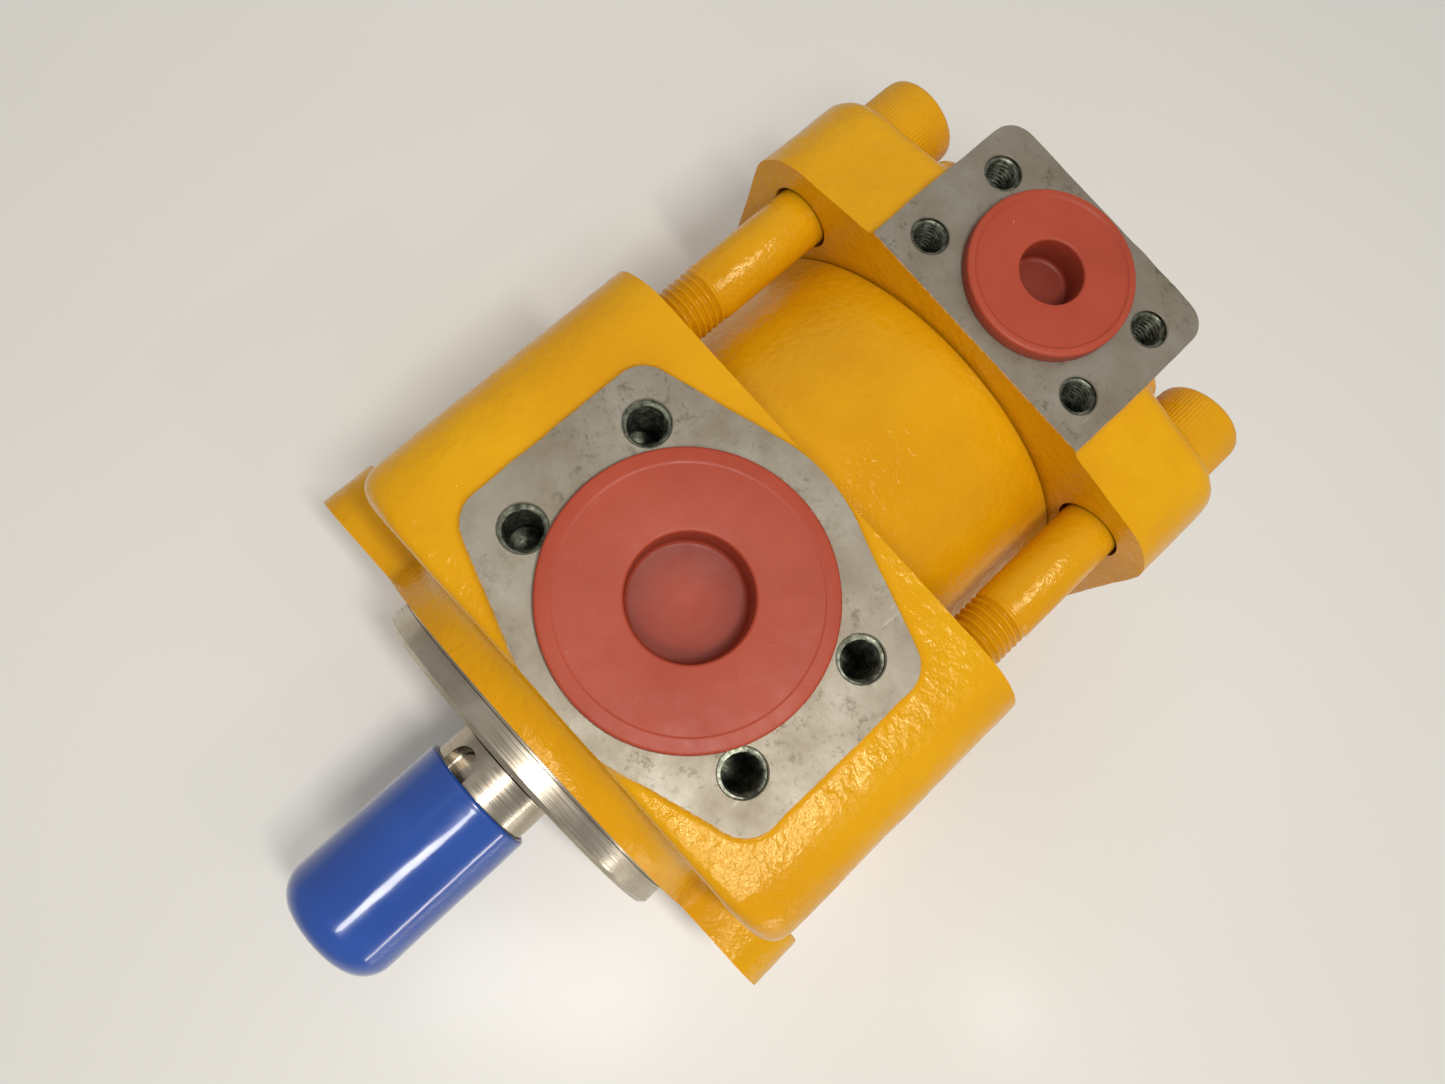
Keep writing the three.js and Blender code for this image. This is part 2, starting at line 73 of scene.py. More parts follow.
FLOOR = -AXIS_Z / MM
TIP_X = body_high.x / MM
BLOCK_REAR = along(ring_low.y)
COVER_FRONT = along(ring_high.y)
HOUSING_RADIUS = ring_high.x / MM
INLET_FACE = above(body_high.z)
OUTLET_FACE = above(cover_high.z)
TAIL = along(cover_high.y)
CAP_END = along(cap_low.y)
CAP_MOUTH = along(cap_high.y)
CAP_RADIUS = (cap_high.x - cap_low.x) / 2 / MM
HEAD_RADIUS = (screw_high.x - screw_low.x) / 2 / MM
HEAD_END = along(screw_high.y)
SCREW_X = (screw_low.x + screw_high.x) / 2 / MM
SCREW_Z = above((screw_low.z + screw_high.z) / 2)
SHAFT_FRONT = along(shaft_low.y)
SHAFT_REAR = along(shaft_high.y)
INLET_PLUG_Y = along((inlet_low.y + inlet_high.y) / 2)
OUTLET_PLUG_Y = along((outlet_low.y + outlet_high.y) / 2)
INLET_Y = BLOCK_REAR - 40.4
OUTLET_Y = TAIL - 26.4
INLET_RIM = (inlet_high.x - inlet_low.x) / 2 / MM
OUTLET_RIM = (outlet_high.x - outlet_low.x) / 2 / MM

BLOCK_FRONT = 9.0
BLOCK_HALF = 70.0
BLOCK_TOP = 69.5
BLOCK_CORNER = 16.5
COVER_HALF = cover_high.x / MM
EAR_RADIUS = 17.0
HEAD_HEIGHT = 16.0
EAR_REAR = HEAD_END - HEAD_HEIGHT
HEAD_SEAT = EAR_REAR - 0.3
SHAFT_RADIUS = 16.0
SCREW_RADIUS = 8.0
PILOT_RADIUS = 50.8
SEAL_POCKET = 25.15
CUT = 8.0  # how far a casting is grown past a face that is then machined off
FAR = 400  # past the whole motor in any direction
SCREWS = [(s * SCREW_X, t * SCREW_Z) for s in (-1, 1) for t in (-1, 1)]


# ---- mesh helpers -------------------------------------------------------------------

def mesh_object(name, points, faces):
    mesh = bpy.data.meshes.new(name)
    mesh.from_pydata([tuple(p) for p in points], [], faces)
    mesh.validate()
    obj = bpy.data.objects.new(name, mesh)
    bpy.context.scene.collection.objects.link(obj)
    return obj


def polar(radius, angle, centre=(0.0, 0.0)):
    """A point at an angle round a centre."""
    return (centre[0] + radius * math.cos(angle), centre[1] + radius * math.sin(angle))


def loft(name, loops, closed=False):
    """Skins loops of equal length. Ends are capped, unless the last loop joins the first."""
    count = len(loops[0])
    points = [p for loop in loops for p in loop]
    rows = len(loops)
    faces = []
    for i in range(rows if closed else rows - 1):
        a = i * count
        b = ((i + 1) % rows) * count
        faces += [(a + j, a + (j + 1) % count, b + (j + 1) % count, b + j) for j in range(count)]
    if not closed:
        faces.append(tuple(reversed(range(count))))
        faces.append(tuple((rows - 1) * count + j for j in range(count)))
    obj = mesh_object(name, points, faces)
    face_outward(obj)
    return obj


def face_outward(obj):
    bm = bmesh.new()
    bm.from_mesh(obj.data)
    bmesh.ops.recalc_face_normals(bm, faces=bm.faces)
    bm.to_mesh(obj.data)
    bm.free()


def outline(circles, shrink=0.0, count=120):
    """The convex outline round circles (u, v, radius), each made smaller by shrink."""
    points = []
    for i in range(count):
        angle = 2 * math.pi * (i + 0.5) / count
        u, v = math.cos(angle), math.sin(angle)
        best = max(circles, key=lambda c: c[0] * u + c[1] * v + c[2])
        radius = best[2] - shrink
        points.append((best[0] + radius * u, best[1] + radius * v))
    return points


def prism_y(name, levels):
    """Lofts (y, outline) levels along the shaft; an outline's points are (x, z)."""
    return loft(name, [[(u, y, v) for u, v in points] for y, points in levels])


def prism_z(name, levels):
    """Lofts (z, outline) levels upwards; an outline's points are (x, y)."""
    return loft(name, [[(u, v, z) for u, v in points] for z, points in levels])


def rounded(start, end, round_start, round_end, steps=5):
    """Levels (height, shrink) of a bar whose end edges are rounded."""
    turns = [math.pi / 2 * i / steps for i in range(steps + 1)]
    low = [
        (start + round_start * (1 - math.sin(t)), round_start * (1 - math.cos(t)))
        for t in reversed(turns)
    ]
    high = [(end - round_end * (1 - math.sin(t)), round_end * (1 - math.cos(t))) for t in turns]
    return low + high


def lathe(name, profile, count=128, centre=(0.0, 0.0), upright=False):
    """Turns a (radius, height) profile. It closes on itself, or starts and ends on the axis.
    centre is (x, z) for a part along the shaft, or (x, y) for an upright one."""
    on_axis = profile[0][0] == 0
    points, rows, faces = [], [], []
    for radius, height in profile:
        spokes = 1 if radius == 0 else count
        rows.append(range(len(points), len(points) + spokes))
        for j in range(spokes):
            angle = 2 * math.pi * j / count
            u, v = polar(radius, angle, centre)
            points.append((u, v, height) if upright else (u, height, v))
    pairs = list(zip(rows, rows[1:])) if on_axis else list(zip(rows, rows[1:] + rows[:1]))
    for a, b in pairs:
        for j in range(count):
            k = (j + 1) % count
            corners = [a[j % len(a)], a[k % len(a)], b[k % len(b)], b[j % len(b)]]
            faces.append(tuple(dict.fromkeys(corners)))
    obj = mesh_object(name, points, [f for f in faces if len(f) > 2])
    face_outward(obj)
    return obj


def fillet(corner, before, after, radius, steps=5):
    """Profile points of an arc that rounds a corner between two neighbouring points."""
    c, a, b = Vector(corner), Vector(before), Vector(after)
    to_a, to_b = (a - c).normalized(), (b - c).normalized()
    half = to_a.angle(to_b) / 2
    reach = radius / math.tan(half)
    middle = c + (to_a + to_b).normalized() * (radius / math.sin(half))
    first, last = c + to_a * reach - middle, c + to_b * reach - middle
    return [tuple(middle + first.slerp(last, i / steps).normalized() * radius) for i in range(steps + 1)]


def soften(profile, radii):
    """Rounds the listed corners {index: radius} of a profile."""
    points = []
    for i, p in enumerate(profile):
        if i in radii:
            points += fillet(p, profile[i - 1], profile[(i + 1) % len(profile)], radii[i])
        else:
            points.append(p)
    return points


def join(name, parts):
    """One object that holds the meshes of several."""
    bm = bmesh.new()
    for part in parts:
        bm.from_mesh(part.data)
        bpy.data.objects.remove(part)
    mesh = bpy.data.meshes.new(name)
    bm.to_mesh(mesh)
    bm.free()
    obj = bpy.data.objects.new(name, mesh)
    bpy.context.scene.collection.objects.link(obj)
    return obj


def apply_modifiers(obj):
    graph = bpy.context.evaluated_depsgraph_get()
    mesh = bpy.data.meshes.new_from_object(obj.evaluated_get(graph))
    obj.modifiers.clear()
    obj.data = mesh


def boolean(obj, tool, operation="DIFFERENCE"):
    modifier = obj.modifiers.new("cut", "BOOLEAN")
    modifier.operation = operation
    modifier.solver = "MANIFOLD"
    modifier.object = tool
    apply_modifiers(obj)
    bpy.data.objects.remove(tool)


def cast(name, parts):
    """Melts overlapping solids into one body with the soft, uneven skin of a sand casting."""
    obj = join(name, parts)
    remesh = obj.modifiers.new("melt", "REMESH")
    remesh.mode = "VOXEL"
    remesh.voxel_size = CAST_VOXEL
    smooth = obj.modifiers.new("soften", "SMOOTH")
    smooth.factor = 0.5
    smooth.iterations = CAST_SMOOTHING
    apply_modifiers(obj)
    roughen(obj, CAST_SKIN, FLOOR)
    return obj


def roughen(obj, layers, floor=None):
    """Moves each point along its normal by noise layers (size, height), in millimetres."""
    mesh = obj.data
    normals = [n.vector.copy() for n in mesh.vertex_normals]
    moved = []
    for v, normal in zip([v.co.copy() for v in mesh.vertices], normals):
        v += normal * sum(height * noise.noise(v / size) for size, height in layers)
        if floor is not None and v.z < floor:
            v.z = floor
        moved.extend(v)
    mesh.vertices.foreach_set("co", moved)
    mesh.update()


def box(name, low, high):
    points = [(x, y, z) for x in (low[0], high[0]) for y in (low[1], high[1]) for z in (low[2], high[2])]
    faces = [(0, 1, 3, 2), (4, 6, 7, 5), (0, 4, 5, 1), (2, 3, 7, 6), (0, 2, 6, 4), (1, 5, 7, 3)]
    obj = mesh_object(name, points, faces)
    face_outward(obj)
    return obj


def drill_y(radius, start, end, x=0.0, z=0.0, count=64):
    """A hole along the shaft."""
    return lathe("drill", [(0, start), (radius, start), (radius, end), (0, end)], count, (x, z))


def drill_z(radius, bottom, top, x, y, chamfer, count=64):
    """A hole from above, with its mouth at top, a countersink and a drill point."""
    profile = [(0, bottom - 0.6 * radius), (radius, bottom), (radius, top - chamfer)]
    profile += [(radius + chamfer, top), (radius + chamfer, top + 2), (0, top + 2)]
    return lathe("drill", profile, count, (x, y), upright=True)


def corners(x, y):
    """The corners of a rectangle 2x by 2y about the origin."""
    return [(-x, -y), (x, -y), (x, y), (-x, y)]


def settle(obj, body, replaced, materials, crease=32):
    """Sets a finished shape in the frame, with its materials and the CAD nodes it stands for."""
    obj.data.transform(Matrix.Translation((0, FACE_Y, AXIS_Z)) @ Matrix.Scale(MM, 4))
    obj.data.update()
    obj.data.shade_smooth()
    obj.data.set_sharp_from_angle(angle=math.radians(crease))
    chosen = [polygon.material_index for polygon in obj.data.polygons]
    obj.data.materials.clear()
    for material in materials:
        obj.data.materials.append(material)
    for polygon, index in zip(obj.data.polygons, chosen):
        polygon.material_index = min(index, len(materials) - 1)
    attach(obj, body)
    if replaced:
        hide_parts(*replaced)
    return obj


def near_hole(point, holes):
    """True inside the reach of any upright hole (x, y, reach)."""
    return any(math.hypot(point.x - x, point.y - y) < reach for x, y, reach in holes)


def finish_faces(obj, index, test):
    """Gives material index to the faces whose centre and normal pass a test."""
    for polygon in obj.data.polygons:
        if test(polygon.center, polygon.normal):
            polygon.material_index = index


# ---- materials ----------------------------------------------------------------------

class Graph:
    """A small node tree around one Principled shader."""

    def __init__(self, name, **constants):
        self.material = bpy.data.materials.new(name)
        self.material.use_nodes = True
        self.tree = self.material.node_tree
        self.shader = self.tree.nodes["Principled BSDF"] if "Principled BSDF" in self.tree.nodes else None
        if self.shader is None:
            self.tree.nodes.clear()
            self.shader = self.tree.nodes.new("ShaderNodeBsdfPrincipled")
            output = self.tree.nodes.new("ShaderNodeOutputMaterial")
            self.tree.links.new(self.shader.outputs[0], output.inputs[0])
        for key, value in constants.items():
            self.shader.inputs[key.replace("_", " ")].default_value = value
        self.place = self.tree.nodes.new("ShaderNodeTexCoord").outputs["Object"]

    def node(self, kind, inputs=None, **settings):
        made = self.tree.nodes.new(kind)
        for key, value in settings.items():
            setattr(made, key, value)
        for key, value in (inputs or {}).items():
            if isinstance(value, bpy.types.NodeSocket):
                self.tree.links.new(value, made.inputs[key])
            else:
                made.inputs[key].default_value = value
        return made

    def noise(self, size, detail=3.0, roughness=0.55, stretch=None):
        """Noise with features about size millimetres across, 0 to 1."""
        place = self.place
        if stretch:
            place = self.node("ShaderNodeMapping", {"Vector": place, "Scale": stretch}).outputs[0]
        found = self.node("ShaderNodeTexNoise", {
            "Vector": place, "Scale": 1 / (size * MM), "Detail": detail, "Roughness": roughness,
        })
        return found.outputs["Fac"]

    def ramp(self, value, *stops):
        """A colour or number ramp with stops (position, colour)."""
        made = self.node("ShaderNodeValToRGB", {"Fac": value})
        elements = made.color_ramp.elements
        while len(elements) < len(stops):
            elements.new(0.5)
        for element, (position, colour) in zip(elements, stops):
            element.position = position
            element.color = (*colour, 1) if isinstance(colour, tuple) else (colour, colour, colour, 1)
        return made.outputs["Color"]

    def mix(self, factor, a, b):
        made = self.node("ShaderNodeMix", data_type="RGBA")
        for socket, value in ((made.inputs[0], factor), (made.inputs[6], a), (made.inputs[7], b)):
            if isinstance(value, bpy.types.NodeSocket):
                self.tree.links.new(value, socket)
            else:
                socket.default_value = (*value, 1) if isinstance(value, tuple) else value
        return made.outputs[2]

    def times(self, a, b):
        return self.node("ShaderNodeMath", {0: a, 1: b}, operation="MULTIPLY").outputs[0]

    def span(self, value, low, high, to_low=0.0, to_high=1.0):
        return self.node("ShaderNodeMapRange", {
            "Value": value, "From Min": low, "From Max": high, "To Min": to_low, "To Max": to_high,
        }).outputs[0]

    def set(self, key, value):
        self.tree.links.new(value, self.shader.inputs[key])

    def bump(self, *layers):
        """Stacks bump layers (height socket, millimetres)."""
        normal = None
        for height, distance in layers:
            inputs = {"Height": height, "Distance": distance * MM, "Strength": 1.0}
            if normal is not None:
                inputs["Normal"] = normal
            normal = self.node("ShaderNodeBump", inputs).outputs[0]
        self.set("Normal", normal)

    def corner_shade(self, reach):
        """Ambient occlusion used for painted shade: 1 on open surfaces, towards 0 in tight corners."""
        return self.node("ShaderNodeAmbientOcclusion", {"Distance": reach * MM}, samples=6).outputs["AO"]


def yellow_enamel(chipped_at=None):
    """Sprayed enamel over sand-cast iron. It is chipped along the edge of a machined face at that height."""
    g = Graph("yellow_enamel", Metallic=0.0, Specular_IOR_Level=0.4, Specular_Tint=(1.0, 0.88, 0.48, 1.0))
    dark, middle, light = (0.67, 0.300, 0.0020), (0.73, 0.350, 0.0028), (0.79, 0.405, 0.004)
    base = g.ramp(g.noise(45, 2), (0.3, dark), (0.55, middle), (0.8, light))
    blotch = g.span(g.noise(7, 4), 0.35, 0.75)
    base = g.mix(g.times(blotch, 0.18), base, (0.60, 0.24, 0.002))
    specks = g.times(g.span(g.noise(0.9, 2), 0.76, 0.80), g.span(g.noise(14, 2), 0.60, 0.70))
    base = g.mix(specks, base, (0.07, 0.04, 0.015))
    # Painted shade: ambient occlusion darkens the enamel towards brown in corners and tight gaps.
    painted_shade = g.span(g.corner_shade(5), 0.25, 0.8, 0.7, 0.0)
    base = g.mix(painted_shade, base, (0.30, 0.12, 0.004))
    if chipped_at is not None:
        height = g.node("ShaderNodeSeparateXYZ", {"Vector": g.place}).outputs["Z"]
        edge = g.span(height, AXIS_Z + (chipped_at - 1.1) * MM, AXIS_Z + (chipped_at - 0.2) * MM)
        worn = g.times(g.times(edge, edge), g.span(g.noise(1.4, 4, 0.7), 0.46, 0.54))
        base = g.mix(worn, base, (0.72, 0.66, 0.50))
    g.set("Base Color", base)
    g.set("Roughness", g.span(g.noise(6, 3), 0.3, 0.7, 0.12, 0.24))
    g.bump((g.noise(8, 2), 0.30), (g.noise(2.2, 4, 0.55), 0.34), (g.noise(0.7, 2), 0.05))
    return g.material


def machined_iron():
    g = Graph("machined_iron", Metallic=0.75)
    stain = g.noise(14, 5, 0.6)
    dark, middle, light = (0.250, 0.208, 0.150), (0.300, 0.262, 0.200), (0.350, 0.322, 0.262)
    base = g.ramp(stain, (0.3, dark), (0.5, middle), (0.7, light))
    grime = g.times(g.span(g.noise(2.6, 6, 0.75), 0.53, 0.64), g.span(g.noise(20, 2), 0.40, 0.60))
    base = g.mix(g.times(grime, 0.55), base, (0.080, 0.066, 0.030))
    pits = g.span(g.noise(0.9, 3, 0.6), 0.66, 0.72)
    base = g.mix(g.times(pits, 0.45), base, (0.12, 0.10, 0.07))
    scratch = g.span(g.noise(1.2, 1, 0.5, stretch=(1, 0.09, 1)), 0.74, 0.80)
    marks = g.times(scratch, g.span(g.noise(9, 2), 0.50, 0.62))
    base = g.mix(g.times(marks, 0.25), base, (0.60, 0.58, 0.52))
    g.set("Base Color", base)
    g.set("Roughness", g.span(stain, 0.3, 0.7, 0.56, 0.48))
    feed = g.noise(0.5, 2, 0.5, stretch=(0.04, 1, 1))
    g.bump((feed, 0.010), (g.noise(0.7, 3), 0.012))
    return g.material


def turned_steel():
    g = Graph("turned_steel", Metallic=1.0)
    rings = g.noise(0.45, 2, 0.6, stretch=(0.02, 1, 0.02))
    tone = g.ramp(g.noise(9, 3), (0.3, (0.39, 0.33, 0.25)), (0.7, (0.56, 0.50, 0.40)))
    g.set("Base Color", g.mix(g.times(g.span(rings, 0.5, 0.8), 0.12), tone, (0.34, 0.31, 0.28)))
    g.set("Roughness", g.span(rings, 0.3, 0.7, 0.18, 0.34))
    g.bump((rings, 0.004), (g.noise(0.6, 2), 0.002))
    return g.material


def oily_thread():
    g = Graph("oily_thread", Metallic=0.9)
    g.set("Base Color", g.ramp(g.noise(1.5, 3), (0.35, (0.055, 0.060, 0.040)), (0.7, (0.24, 0.25, 0.19))))
    g.set("Roughness", g.span(g.noise(0.8, 2), 0.3, 0.7, 0.34, 0.50))
    g.bump((g.noise(0.5, 2), 0.006))
    return g.material


def red_plastic():
    g = Graph("red_plastic", Metallic=0.0, Specular_IOR_Level=0.3)
    base = g.ramp(g.noise(22, 3), (0.3, (0.370, 0.050, 0.022)), (0.7, (0.430, 0.066, 0.030)))
    scuff = g.span(g.noise(1.8, 4, 0.7, stretch=(1, 0.3, 1)), 0.62, 0.75)
    base = g.mix(g.times(scuff, 0.18), base, (0.60, 0.18, 0.11))
    dust = g.times(g.span(g.noise(0.7, 2), 0.72, 0.78), g.span(g.noise(9, 2), 0.5, 0.62))
    base = g.mix(g.times(dust, 0.7), base, (0.62, 0.42, 0.30))
    # Painted shade: ambient occlusion darkens the plastic inside the cup and in other tight hollows.
    painted_shade = g.span(g.corner_shade(14), 0.2, 0.95, 0.9, 0.0)
    g.set("Base Color", g.mix(painted_shade, base, (0.13, 0.018, 0.010)))
    g.set("Roughness", g.span(g.noise(5, 3), 0.3, 0.7, 0.38, 0.52))
    g.bump((g.noise(6, 2), 0.04), (g.noise(0.7, 3), 0.010))
    return g.material


def blue_vinyl():
    g = Graph("blue_vinyl", Metallic=0.0, Coat_Weight=0.6, Coat_Roughness=0.04, Subsurface_Weight=0.05,
              Subsurface_Scale=0.002)
    base = g.ramp(g.noise(25, 2), (0.3, (0.010, 0.062, 0.330)), (0.7, (0.014, 0.080, 0.390)))
    dust = g.times(g.span(g.noise(0.6, 2), 0.74, 0.79), g.span(g.noise(8, 2), 0.52, 0.65))
    g.set("Base Color", g.mix(g.times(dust, 0.6), base, (0.20, 0.28, 0.42)))
    g.set("Roughness", g.span(g.noise(9, 2), 0.3, 0.7, 0.14, 0.24))
    g.bump((g.noise(14, 2), 0.10), (g.noise(3, 2), 0.012))
    return g.material


def gear_steel():
    g = Graph("gear_steel", Metallic=1.0)
    g.set("Base Color", g.ramp(g.noise(6, 4), (0.3, (0.26, 0.26, 0.27)), (0.7, (0.42, 0.42, 0.43))))
    g.set("Roughness", g.span(g.noise(2, 3), 0.3, 0.7, 0.22, 0.38))
    g.bump((g.noise(0.5, 2, 0.5, stretch=(1, 0.05, 1)), 0.006))
    return g.material


def bronze():
    g = Graph("bronze", Metallic=1.0)
    g.set("Base Color", g.ramp(g.noise(7, 4), (0.3, (0.38, 0.22, 0.09)), (0.7, (0.56, 0.36, 0.16))))
    g.set("Roughness", g.span(g.noise(2.5, 3), 0.3, 0.7, 0.28, 0.42))
    g.bump((g.noise(0.6, 2), 0.006))
    return g.material


def black_rubber():
    g = Graph("black_rubber", Metallic=0.0)
    g.set("Base Color", g.ramp(g.noise(3, 3), (0.3, (0.012, 0.012, 0.013)), (0.7, (0.030, 0.029, 0.028))))
    g.set("Roughness", g.span(g.noise(2, 3), 0.3, 0.7, 0.42, 0.6))
    g.bump((g.noise(0.6, 3), 0.012))
    return g.material


YELLOW = yellow_enamel()
IRON = machined_iron()
STEEL = turned_steel()
THREAD = oily_thread()
RED = red_plastic()
BLUE = blue_vinyl()
GEAR = gear_steel()
BRONZE = bronze()
RUBBER = black_rubber()


# ---- tapped holes -------------------------------------------------------------------

def thread_sleeve(outer, pitch, bottom, top, centre):
    """The threaded wall of a tapped hole: a thin tube with a helical groove inside."""
    count, steps, wall, depth = 48, 8, 0.15, 0.6 * pitch
    rows = int((top - bottom) / pitch * steps)
    loops = []
    for i in range(rows + 1):
        height = bottom + (top - bottom) * i / rows
        loop = []
        for j in range(count):
            turn = (height / pitch - j / count) % 1.0
            radius = outer - wall - depth * (1 - abs(2 * turn - 1)) ** 0.8
            loop.append((*polar(radius, 2 * math.pi * j / count, centre), height))
        loops.append(loop)
    for height in (top, bottom):
        loops.append([(*polar(outer, 2 * math.pi * j / count, centre), height) for j in range(count)])
    return loft("sleeve", loops, closed=True)


def tapped_threads(name, centre_y, face, spacing, radius, pitch, depth):
    """The threads of a port's four holes. They start just below the countersinks."""
    lead, fit = 1.2, 0.02
    sleeves = [
        thread_sleeve(radius - fit, pitch, face - depth, face - lead, (x, centre_y + y))
        for x, y in corners(*spacing)
    ]
    return settle(join(name, sleeves), "housing", [], [THREAD], crease=60)


# ---- castings -----------------------------------------------------------------------

INLET_HOLES = (34.95, 17.85)
OUTLET_HOLES = (26.2, 13.1)
INLET_HOLE_RADIUS = 5.5
OUTLET_HOLE_RADIUS = 4.75
INLET_BORE = 19.0
OUTLET_BORE = 12.5
HOLE_EDGE = 0.3  # countersink of a tapped hole
PORT_EDGE = 0.8  # countersink of a port
FLANGE_BOLT_X = 73.0
FLANGE_HOLE = 7.15
FLANGE_THICK = 16.0
EAR_TIP = 15.0
HUB_RADIUS = 58.0
CAST_VOXEL = 0.8
CAST_SMOOTHING = 5
CAST_SKIN = [(26, 0.35), (7, 0.16), (2.6, 0.07)]
BARE, DRILLED, TURNED = 1, 2, 3  # material numbers on a casting, after the paint


def block_levels():
    """Block outlines: the front upright corners are rounded more than the front top edge."""
    side_round, top_round, steps = 6.5, 1.5, 6
    side, top = BLOCK_HALF - BLOCK_CORNER, BLOCK_TOP - BLOCK_CORNER
    bottom = FLOOR + BLOCK_CORNER
    levels = []
    for i in range(steps + 1):
        t = math.pi / 2 * i / steps
        pinch = side_round * (1 - math.sin(t))
        y = BLOCK_FRONT + side_round * (1 - math.cos(t))
        shrink = top_round * max(0.0, 1 - (y - BLOCK_FRONT) / top_round) ** 2
        circles = [(s * (side - pinch), z, BLOCK_CORNER) for s in (-1, 1) for z in (bottom, top)]
        levels.append((y, outline(circles, shrink)))
    levels.append((BLOCK_REAR + CUT, levels[-1][1]))
    return levels


def flange_outline(grow=0.0, count=180):
    """Two bolt ears that flow into the round hub. The hub can be grown, the ears keep their tips."""
    ear_x, blend = TIP_X - EAR_TIP, 10
    points = []
    for i in range(count):
        angle = 2 * math.pi * (i + 0.5) / count
        across, up = abs(math.cos(angle)), abs(math.sin(angle))
        ear = EAR_TIP / up
        if ear * across > ear_x:
            ear = ear_x * across + math.sqrt(max(0.0, EAR_TIP ** 2 - (ear_x * up) ** 2))
        wide = grow * min(1.0, max(0.0, (66 - ear_x * across) / 20))
        radius = ((HUB_RADIUS + wide) ** blend + ear ** blend) ** (1 / blend)
        points.append(polar(radius, angle))
    return points


def flange_levels():
    """The flange from its front face to the back of its ears, flaring into the block."""
    flare = [(0.0, 0.0), (3.0, 0.5), (5.5, 1.6), (7.5, 3.2), (9.0, 5.5), (10.5, 5.5)]
    back = [(13.5, 0.0), (15.2, -1.0), (FLANGE_THICK, -2.0)]
    return [(-CUT, flange_outline())] + [(y, flange_outline(grow)) for y, grow in flare + back]


def inlet_pad():
    """The large port's pad, which widens into the block and ends at its front."""
    pad = [(x, INLET_Y + y, 7.5) for x, y in corners(39.5, 21.0)] + [(0, INLET_Y, 40.0)]
    draft = [(-8.0, -4.0), (-3.0, -1.9), (-1.6, -0.5), (CUT, 0.6)]
    obj = prism_z("pad", [(INLET_FACE + rise, outline(pad, shrink)) for rise, shrink in draft])
    boolean(obj, box("ahead", (-FAR, -FAR, -FAR), (FAR, BLOCK_FRONT + 0.5, FAR)))
    return obj


def front_holes():
    """Flange bolt holes, blind screw holes, and the large port with its tapped holes."""
    holes = [drill_y(FLANGE_HOLE, -20, 20, s * FLANGE_BOLT_X) for s in (-1, 1)]
    holes += [drill_y(8.6, 60, FAR, x, z) for x, z in SCREWS]
    holes += [
        drill_z(INLET_HOLE_RADIUS, INLET_FACE - 24, INLET_FACE, x, INLET_Y + y, HOLE_EDGE)
        for x, y in corners(*INLET_HOLES)
    ]
    holes.append(drill_z(INLET_BORE, 26, INLET_FACE, 0, INLET_Y, PORT_EDGE, 96))
    return join("holes", holes)


def front_casting():
    parts = [prism_y("block", block_levels()), prism_y("flange", flange_levels()), inlet_pad()]
    obj = cast("front_casting", parts)
    boolean(obj, box("above", (-FAR, -FAR, INLET_FACE), (FAR, FAR, FAR)))
    boolean(obj, box("behind", (-FAR, BLOCK_REAR, -FAR), (FAR, FAR, FAR - 1)))
    boolean(obj, box("ahead", (-FAR, -FAR, -FAR), (FAR, 0, FAR - 2)))
    boolean(obj, turned_pilot(), "UNION")
    boolean(obj, front_holes())
    reliefs = [drill_y(FLANGE_HOLE + 0.25, FLANGE_THICK + 0.2, 20.3, s * FLANGE_BOLT_X) for s in (-1, 1)]
    boolean(obj, join("reliefs", reliefs))
    boolean(obj, drill_y(SEAL_POCKET, -30, 5, count=128))
    boolean(obj, drill_y(17.5, -30, FAR, count=96))

    holes = [(x, INLET_Y + y, INLET_HOLE_RADIUS + 0.6) for x, y in corners(*INLET_HOLES)]
    holes.append((0, INLET_Y, INLET_BORE + 0.9))

    def bare(centre, normal):
        on_top = abs(centre.z - INLET_FACE) < 0.02 and normal.z > 0.9
        on_front = centre.y < 0.3 and normal.y < -0.9
        return on_top or on_front or (centre.z > INLET_FACE - 0.5 and near_hole(centre, holes))

    def drilled(centre, normal):
        beside = abs(abs(centre.x) - FLANGE_BOLT_X)
        bolt_hole = max(beside, abs(centre.z)) < FLANGE_HOLE + 0.25 and 0.1 < centre.y < FLANGE_THICK + 1
        return bolt_hole or (10 < centre.z < INLET_FACE - 0.5 and near_hole(centre, holes))

    def turned(centre, normal):
        inside = centre.y < 60 and math.hypot(centre.x, centre.z) < SEAL_POCKET + 0.5
        return centre.y < -0.3 or inside

    finish_faces(obj, BARE, bare)
    finish_faces(obj, DRILLED, drilled)
    finish_faces(obj, TURNED, turned)
    paint = yellow_enamel(INLET_FACE)
    settle(obj, "housing", ["front_body"], [paint, IRON, THREAD, STEEL])
    tapped_threads("inlet_threads", INLET_Y, INLET_FACE, INLET_HOLES, INLET_HOLE_RADIUS, 1.75, 23)


def turned_pilot():
    """The pilot: a boss with a chamfered edge and an undercut at the flange."""
    r, edge = PILOT_RADIUS, -PILOT_HEIGHT
    profile = [
        (0, edge), (r - 1.2, edge), (r, edge + 1.2), (r, -1.2), (r - 0.5, -1.0), (r - 0.5, 1.0), (0, 1.0),
    ]
    return lathe("pilot", profile, 192)


